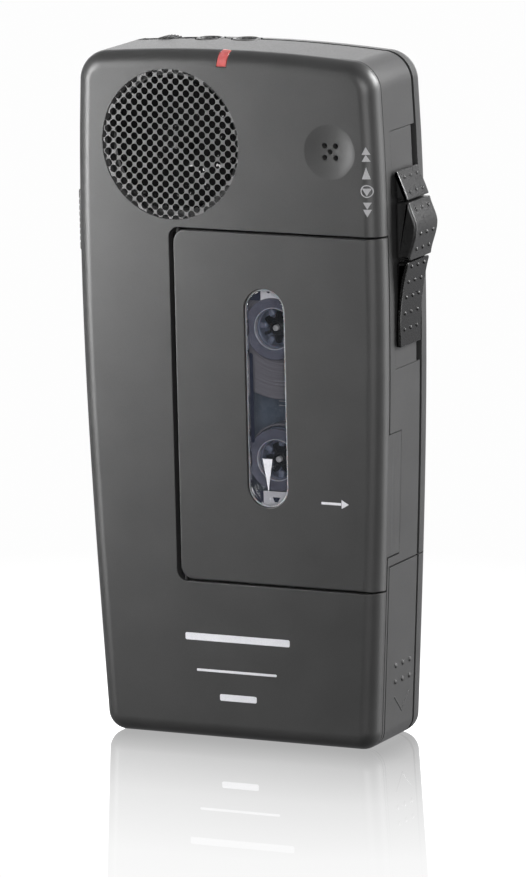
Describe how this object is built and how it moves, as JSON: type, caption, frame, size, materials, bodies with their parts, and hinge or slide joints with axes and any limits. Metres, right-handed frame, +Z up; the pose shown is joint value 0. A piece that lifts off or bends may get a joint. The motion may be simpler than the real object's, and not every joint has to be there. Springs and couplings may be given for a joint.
{
  "type": "microcassette dictation machine",
  "caption": "Pocket tape dictation machine with a side-hinged cassette door, slide switch, speaker grille and battery cover.",
  "frame": {"origin": "centre of the flat lower end that the machine stands on, on the outline centre line and midway between front and back", "axes": "+X to the right seen from the front, +Y from the front face to the back, +Z up along the height"},
  "size_m": [0.066, 0.022, 0.1251],
  "materials": {
    "case_plastic": "fine textured, dark charcoal",
    "grille_plastic": "fine textured, dark grey",
    "thumb_plastic": "textured, near black",
    "black_plastic": "satin black",
    "white_plastic": "semi-gloss white",
    "window_clear": "clear, glossy",
    "smoke_clear": "smoke-tinted clear plastic",
    "tape_brown": "wound magnetic tape",
    "red_lens": "translucent red",
    "plated_steel": "satin plated",
    "brass": "turned",
    "black_rubber": "matte",
    "board_laminate": "green laminate",
    "deck_aluminium": "stamped",
    "cone_paper": "pressed paper",
    "cell_wrap": "plain grey label wrap"
  },
  "bodies": {
    "case": {"front_cover": "case_plastic", "rear_cover": "case_plastic", "switch_plate": "case_plastic", "speaker_grille": "grille_plastic", "speaker_frame": "plated_steel", "speaker_cone": "cone_paper", "speaker_magnet": "plated_steel", "microphone_capsule": "plated_steel", "microphone_boot": "black_rubber", "lamp_light_pipe": "red_lens", "record_led": "red_lens", "case_screw_1": "plated_steel", "case_screw_2": "plated_steel", "case_screw_3": "plated_steel", "case_screw_4": "plated_steel", "cassette_shell_front": "smoke_clear", "cassette_shell_rear": "smoke_clear", "pressure_pad": "brass", "deck_plate": "deck_aluminium", "supply_axle": "plated_steel", "takeup_axle": "plated_steel", "motor": "plated_steel", "drive_belt": "black_rubber", "selector_switch": "black_plastic", "record_switch": "black_plastic", "volume_pot": "black_plastic", "earphone_jack": "black_plastic", "microphone_jack": "black_plastic", "circuit_board": "board_laminate", "battery_bulkhead": "case_plastic", "battery_cell_upper": "cell_wrap", "battery_cell_lower": "cell_wrap", "battery_contact_upper": "plated_steel", "battery_contact_lower": "plated_steel"},
    "door": {"cassette_door": "case_plastic", "door_window": "window_clear", "door_hinge_pin_upper": "plated_steel", "door_hinge_pin_lower": "plated_steel"},
    "function_slide": {"slide_carrier": "black_plastic", "thumb_pad_top": "thumb_plastic", "thumb_pad_middle": "thumb_plastic", "thumb_pad_bottom": "thumb_plastic"},
    "record_key": {"record_key": "thumb_plastic"},
    "index_button": {"index_button": "thumb_plastic"},
    "volume_wheel": {"volume_wheel": "black_plastic"},
    "supply_reel": {"supply_hub": "white_plastic", "supply_tape_pack": "tape_brown", "supply_spindle": "black_plastic"},
    "takeup_reel": {"takeup_hub": "white_plastic", "takeup_tape_pack": "tape_brown", "takeup_spindle": "black_plastic"},
    "flywheel": {"flywheel": "brass"},
    "motor_pulley": {"motor_pulley": "brass"},
    "idler_arm": {"idler_arm": "plated_steel"},
    "idler_wheel": {"idler_wheel": "black_rubber"},
    "head_carriage": {"head_carriage": "plated_steel", "record_play_head": "plated_steel", "erase_head": "black_plastic"},
    "battery_cover": {"battery_cover": "case_plastic", "battery_bridge_contact": "plated_steel"}
  },
  "joints": [
    {"name": "door_hinge", "type": "hinge", "parent": "case", "child": "door", "pos_m": [-0.0099, -0.01005, 0.061], "axis": [0, 0, -1], "range_deg": [0, 80]},
    {"name": "function_slide", "type": "slide", "parent": "case", "child": "function_slide", "axis": [0, 0, 1], "range_m": [-0.0033, 0.0066]},
    {"name": "record_key_press", "type": "slide", "parent": "case", "child": "record_key", "axis": [1, 0, 0], "range_m": [0, 0.0008], "stiffness_N_per_m": 800, "springref_m": -0.0002},
    {"name": "index_button_press", "type": "slide", "parent": "case", "child": "index_button", "axis": [1, 0, 0], "range_m": [0, 0.001], "stiffness_N_per_m": 600, "springref_m": -0.0002},
    {"name": "volume_turn", "type": "hinge", "parent": "case", "child": "volume_wheel", "pos_m": [-0.0187, 0.0064, 0.11957], "axis": [0, -1, 0], "range_deg": [-135, 135]},
    {"name": "takeup_spin", "type": "hinge", "parent": "case", "child": "takeup_reel", "pos_m": [0.0079, 0, 0.05165], "axis": [0, -1, 0], "continuous": true},
    {"name": "supply_spin", "type": "hinge", "parent": "case", "child": "supply_reel", "pos_m": [0.0079, 0, 0.0754], "axis": [0, -1, 0], "continuous": true},
    {"name": "flywheel_spin", "type": "hinge", "parent": "case", "child": "flywheel", "pos_m": [-0.0013, 0, 0.06353], "axis": [0, -1, 0], "continuous": true},
    {"name": "motor_spin", "type": "hinge", "parent": "case", "child": "motor_pulley", "pos_m": [-0.0196, 0, 0.046], "axis": [0, -1, 0], "continuous": true},
    {"name": "idler_swing", "type": "hinge", "parent": "case", "child": "idler_arm", "pos_m": [-0.0013, 0, 0.06353], "axis": [0, -1, 0], "range_deg": [-12, 12]},
    {"name": "idler_spin", "type": "hinge", "parent": "idler_arm", "child": "idler_wheel", "pos_m": [0.0048, 0, 0.06353], "axis": [0, -1, 0], "continuous": true},
    {"name": "head_carriage_slide", "type": "slide", "parent": "case", "child": "head_carriage", "axis": [-1, 0, 0], "range_m": [0, 0.0015]},
    {"name": "battery_cover_slide", "type": "slide", "parent": "case", "child": "battery_cover", "axis": [0, 0, -1], "range_m": [0, 0.005]}
  ],
  "couplings": [
    {"joint": "supply_spin", "follows": "takeup_spin", "ratio": 0.4771},
    {"joint": "motor_spin", "follows": "flywheel_spin", "ratio": 4.2222},
    {"joint": "idler_spin", "follows": "flywheel_spin", "ratio": -0.7647}
  ]
}
